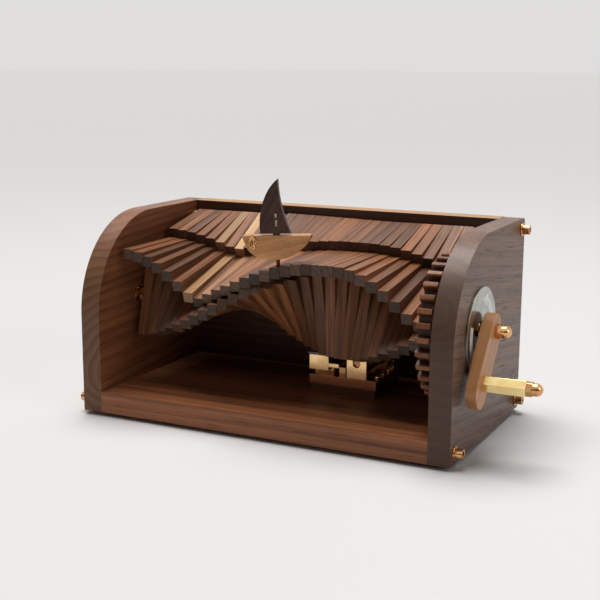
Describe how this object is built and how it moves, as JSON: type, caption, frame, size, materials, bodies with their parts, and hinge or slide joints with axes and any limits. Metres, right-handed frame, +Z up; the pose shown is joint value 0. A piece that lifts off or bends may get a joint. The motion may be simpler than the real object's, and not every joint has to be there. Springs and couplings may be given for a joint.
{
  "type": "wooden crank automaton",
  "caption": "Crank-driven wooden wave automaton: levers ride a helix of sticks in an open case, with a small sailboat, a gear and a music movement.",
  "frame": {"origin": "middle of the whole object's footprint, crank included, on the surface that its feet stand on", "axes": "+X along the shaft towards the crank handle, +Y to the back panel, +Z up"},
  "size_m": [0.2639, 0.119, 0.1379],
  "materials": {
    "case_walnut": "oiled walnut board",
    "stick_walnut": "sanded walnut",
    "lever_walnut": "sanded walnut, tone by tone",
    "gear_wood": "sawn walnut",
    "light_wood": "sanded cherry",
    "sail_walnut": "dark walnut",
    "peg_wood": "turned dowel",
    "brass": "polished",
    "disc_metal": "glossy",
    "foot_rubber": "matt",
    "movement_brass": "machined",
    "movement_steel": "brushed"
  },
  "bodies": {
    "case": {"left_panel": "case_walnut", "right_panel": "case_walnut", "back_panel": "case_walnut", "foot_pads": "foot_rubber", "case_screws": "brass", "case_washers": "brass", "pivot_rod": "brass", "upper_rod": "brass", "rod_spacers": "brass", "shaft_bushes": "brass", "arrow_disc": "disc_metal", "bedplate": "movement_brass", "movement_riser": "case_walnut", "movement_screws": "movement_steel", "base_board": "case_walnut", "comb": "movement_steel"},
    "crank": {"main_shaft": "brass", "shaft_nuts": "brass", "cam_sticks": "stick_walnut", "drive_gear": "gear_wood", "crank_arm": "light_wood", "crank_nuts": "brass", "handle_screw": "brass", "handle_spacer": "brass", "handle_cap_nut": "brass"},
    "worm_train": {"drive_pinion": "gear_wood", "worm_shaft": "movement_steel"},
    "music_cylinder": {"note_cylinder": "movement_brass"},
    "lever_01": {"wave_lever_01": "lever_walnut"},
    "lever_02": {"wave_lever_02": "lever_walnut"},
    "lever_03": {"wave_lever_03": "lever_walnut"},
    "lever_04": {"wave_lever_04": "lever_walnut"},
    "lever_05": {"wave_lever_05": "lever_walnut"},
    "lever_06": {"wave_lever_06": "lever_walnut"},
    "lever_07": {"wave_lever_07": "lever_walnut"},
    "lever_08": {"wave_lever_08": "lever_walnut"},
    "lever_09": {"wave_lever_09": "lever_walnut"},
    "lever_10": {"wave_lever_10": "lever_walnut"},
    "lever_11": {"wave_lever_11": "lever_walnut"},
    "lever_12": {"wave_lever_12": "lever_walnut"},
    "lever_13": {"wave_lever_13": "lever_walnut"},
    "lever_14": {"wave_lever_14": "lever_walnut"},
    "lever_15": {"wave_lever_15": "lever_walnut"},
    "lever_16": {"wave_lever_16": "lever_walnut", "boat_peg": "peg_wood", "boat_hull": "light_wood", "boat_sail": "sail_walnut"},
    "lever_17": {"wave_lever_17": "lever_walnut"},
    "lever_18": {"wave_lever_18": "lever_walnut"},
    "lever_19": {"wave_lever_19": "lever_walnut"},
    "lever_20": {"wave_lever_20": "lever_walnut"},
    "lever_21": {"wave_lever_21": "lever_walnut"},
    "lever_22": {"wave_lever_22": "lever_walnut"},
    "lever_23": {"wave_lever_23": "lever_walnut"},
    "lever_24": {"wave_lever_24": "lever_walnut"},
    "lever_25": {"wave_lever_25": "lever_walnut"},
    "lever_26": {"wave_lever_26": "lever_walnut"},
    "lever_27": {"wave_lever_27": "lever_walnut"},
    "lever_28": {"wave_lever_28": "lever_walnut"},
    "lever_29": {"wave_lever_29": "lever_walnut"}
  },
  "joints": [
    {"name": "crank_turn", "type": "hinge", "parent": "case", "child": "crank", "pos_m": [0, -0.0195, 0.0642], "axis": [1, 0, 0], "range_deg": [0, 30]},
    {"name": "worm_turn", "type": "hinge", "parent": "case", "child": "worm_train", "pos_m": [0.03, 0.02605, 0.0432], "axis": [1, 0, 0], "range_deg": [-80, 0]},
    {"name": "cylinder_turn", "type": "hinge", "parent": "case", "child": "music_cylinder", "pos_m": [0.01785, 0.01, 0.0332], "axis": [0, 1, 0], "range_deg": [0, 3.34]},
    {"name": "lever_01_tilt", "type": "hinge", "parent": "case", "child": "lever_01", "pos_m": [0, 0.041, 0.0918], "axis": [1, 0, 0], "range_deg": [-0.3, 18.51]},
    {"name": "lever_02_tilt", "type": "hinge", "parent": "case", "child": "lever_02", "pos_m": [0, 0.041, 0.0918], "axis": [1, 0, 0], "range_deg": [-2.35, 17.72]},
    {"name": "lever_03_tilt", "type": "hinge", "parent": "case", "child": "lever_03", "pos_m": [0, 0.041, 0.0918], "axis": [1, 0, 0], "range_deg": [-4.73, 16.25]},
    {"name": "lever_04_tilt", "type": "hinge", "parent": "case", "child": "lever_04", "pos_m": [0, 0.041, 0.0918], "axis": [1, 0, 0], "range_deg": [-7.36, 14.03]},
    {"name": "lever_05_tilt", "type": "hinge", "parent": "case", "child": "lever_05", "pos_m": [0, 0.041, 0.0918], "axis": [1, 0, 0], "range_deg": [-10.1, 11.01]},
    {"name": "lever_06_tilt", "type": "hinge", "parent": "case", "child": "lever_06", "pos_m": [0, 0.041, 0.0918], "axis": [1, 0, 0], "range_deg": [-12.68, 7.25]},
    {"name": "lever_07_tilt", "type": "hinge", "parent": "case", "child": "lever_07", "pos_m": [0, 0.041, 0.0918], "axis": [1, 0, 0], "range_deg": [-15.86, 2.86]},
    {"name": "lever_08_tilt", "type": "hinge", "parent": "case", "child": "lever_08", "pos_m": [0, 0.041, 0.0918], "axis": [1, 0, 0], "range_deg": [-17.88, 0.85]},
    {"name": "lever_09_tilt", "type": "hinge", "parent": "case", "child": "lever_09", "pos_m": [0, 0.041, 0.0918], "axis": [1, 0, 0], "range_deg": [-15.65, 3.08]},
    {"name": "lever_10_tilt", "type": "hinge", "parent": "case", "child": "lever_10", "pos_m": [0, 0.041, 0.0918], "axis": [1, 0, 0], "range_deg": [-13.46, 5.26]},
    {"name": "lever_11_tilt", "type": "hinge", "parent": "case", "child": "lever_11", "pos_m": [0, 0.041, 0.0918], "axis": [1, 0, 0], "range_deg": [-11.33, 7.39]},
    {"name": "lever_12_tilt", "type": "hinge", "parent": "case", "child": "lever_12", "pos_m": [0, 0.041, 0.0918], "axis": [1, 0, 0], "range_deg": [-9.29, 9.43]},
    {"name": "lever_13_tilt", "type": "hinge", "parent": "case", "child": "lever_13", "pos_m": [0, 0.041, 0.0918], "axis": [1, 0, 0], "range_deg": [-7.36, 11.36]},
    {"name": "lever_14_tilt", "type": "hinge", "parent": "case", "child": "lever_14", "pos_m": [0, 0.041, 0.0918], "axis": [1, 0, 0], "range_deg": [-5.57, 13.16]},
    {"name": "lever_15_tilt", "type": "hinge", "parent": "case", "child": "lever_15", "pos_m": [0, 0.041, 0.0918], "axis": [1, 0, 0], "range_deg": [-3.94, 14.78]},
    {"name": "lever_16_tilt", "type": "hinge", "parent": "case", "child": "lever_16", "pos_m": [0, 0.041, 0.0918], "axis": [1, 0, 0], "range_deg": [-2.53, 16.2]},
    {"name": "lever_17_tilt", "type": "hinge", "parent": "case", "child": "lever_17", "pos_m": [0, 0.041, 0.0918], "axis": [1, 0, 0], "range_deg": [-1.37, 17.35]},
    {"name": "lever_18_tilt", "type": "hinge", "parent": "case", "child": "lever_18", "pos_m": [0, 0.041, 0.0918], "axis": [1, 0, 0], "range_deg": [-0.53, 18.19]},
    {"name": "lever_19_tilt", "type": "hinge", "parent": "case", "child": "lever_19", "pos_m": [0, 0.041, 0.0918], "axis": [1, 0, 0], "range_deg": [-0.07, 18.66]},
    {"name": "lever_20_tilt", "type": "hinge", "parent": "case", "child": "lever_20", "pos_m": [0, 0.041, 0.0918], "axis": [1, 0, 0], "range_deg": [-0.06, 18.66]},
    {"name": "lever_21_tilt", "type": "hinge", "parent": "case", "child": "lever_21", "pos_m": [0, 0.041, 0.0918], "axis": [1, 0, 0], "range_deg": [-0.01, 18.71]},
    {"name": "lever_22_tilt", "type": "hinge", "parent": "case", "child": "lever_22", "pos_m": [0, 0.041, 0.0918], "axis": [1, 0, 0], "range_deg": [-0.17, 18.56]},
    {"name": "lever_23_tilt", "type": "hinge", "parent": "case", "child": "lever_23", "pos_m": [0, 0.041, 0.0918], "axis": [1, 0, 0], "range_deg": [-2.13, 17.83]},
    {"name": "lever_24_tilt", "type": "hinge", "parent": "case", "child": "lever_24", "pos_m": [0, 0.041, 0.0918], "axis": [1, 0, 0], "range_deg": [-4.47, 16.43]},
    {"name": "lever_25_tilt", "type": "hinge", "parent": "case", "child": "lever_25", "pos_m": [0, 0.041, 0.0918], "axis": [1, 0, 0], "range_deg": [-7.08, 14.29]},
    {"name": "lever_26_tilt", "type": "hinge", "parent": "case", "child": "lever_26", "pos_m": [0, 0.041, 0.0918], "axis": [1, 0, 0], "range_deg": [-9.82, 11.36]},
    {"name": "lever_27_tilt", "type": "hinge", "parent": "case", "child": "lever_27", "pos_m": [0, 0.041, 0.0918], "axis": [1, 0, 0], "range_deg": [-12.43, 7.66]},
    {"name": "lever_28_tilt", "type": "hinge", "parent": "case", "child": "lever_28", "pos_m": [0, 0.041, 0.0918], "axis": [1, 0, 0], "range_deg": [-15.39, 3.33]},
    {"name": "lever_29_tilt", "type": "hinge", "parent": "case", "child": "lever_29", "pos_m": [0, 0.041, 0.0918], "axis": [1, 0, 0], "range_deg": [-18.11, 0.62]}
  ],
  "couplings": [
    {"joint": "worm_turn", "follows": "crank_turn", "ratio": -2.6667},
    {"joint": "cylinder_turn", "follows": "crank_turn", "ratio": 0.11111},
    {"joint": "lever_01_tilt", "follows": "crank_turn", "ratio": -0.009942},
    {"joint": "lever_02_tilt", "follows": "crank_turn", "ratio": -0.078399},
    {"joint": "lever_03_tilt", "follows": "crank_turn", "ratio": -0.15752},
    {"joint": "lever_04_tilt", "follows": "crank_turn", "ratio": -0.24534},
    {"joint": "lever_05_tilt", "follows": "crank_turn", "ratio": -0.33674},
    {"joint": "lever_06_tilt", "follows": "crank_turn", "ratio": -0.42259},
    {"joint": "lever_07_tilt", "follows": "crank_turn", "ratio": -0.49124},
    {"joint": "lever_08_tilt", "follows": "crank_turn", "ratio": -0.39015},
    {"joint": "lever_09_tilt", "follows": "crank_turn", "ratio": -0.20044},
    {"joint": "lever_10_tilt", "follows": "crank_turn", "ratio": 0.009037},
    {"joint": "lever_11_tilt", "follows": "crank_turn", "ratio": 0.23306},
    {"joint": "lever_12_tilt", "follows": "crank_turn", "ratio": 0.24961},
    {"joint": "lever_13_tilt", "follows": "crank_turn", "ratio": 0.23771},
    {"joint": "lever_14_tilt", "follows": "crank_turn", "ratio": 0.22235},
    {"joint": "lever_15_tilt", "follows": "crank_turn", "ratio": 0.20301},
    {"joint": "lever_16_tilt", "follows": "crank_turn", "ratio": 0.17898},
    {"joint": "lever_17_tilt", "follows": "crank_turn", "ratio": 0.14933},
    {"joint": "lever_18_tilt", "follows": "crank_turn", "ratio": 0.113},
    {"joint": "lever_19_tilt", "follows": "crank_turn", "ratio": 0.068737},
    {"joint": "lever_20_tilt", "follows": "crank_turn", "ratio": 0.015206},
    {"joint": "lever_21_tilt", "follows": "crank_turn", "ratio": 0.009724},
    {"joint": "lever_22_tilt", "follows": "crank_turn", "ratio": -0.003579},
    {"joint": "lever_23_tilt", "follows": "crank_turn", "ratio": -0.070914},
    {"joint": "lever_24_tilt", "follows": "crank_turn", "ratio": -0.149},
    {"joint": "lever_25_tilt", "follows": "crank_turn", "ratio": -0.2361},
    {"joint": "lever_26_tilt", "follows": "crank_turn", "ratio": -0.32749},
    {"joint": "lever_27_tilt", "follows": "crank_turn", "ratio": -0.4144},
    {"joint": "lever_28_tilt", "follows": "crank_turn", "ratio": -0.48534},
    {"joint": "lever_29_tilt", "follows": "crank_turn", "ratio": -0.41328}
  ]
}
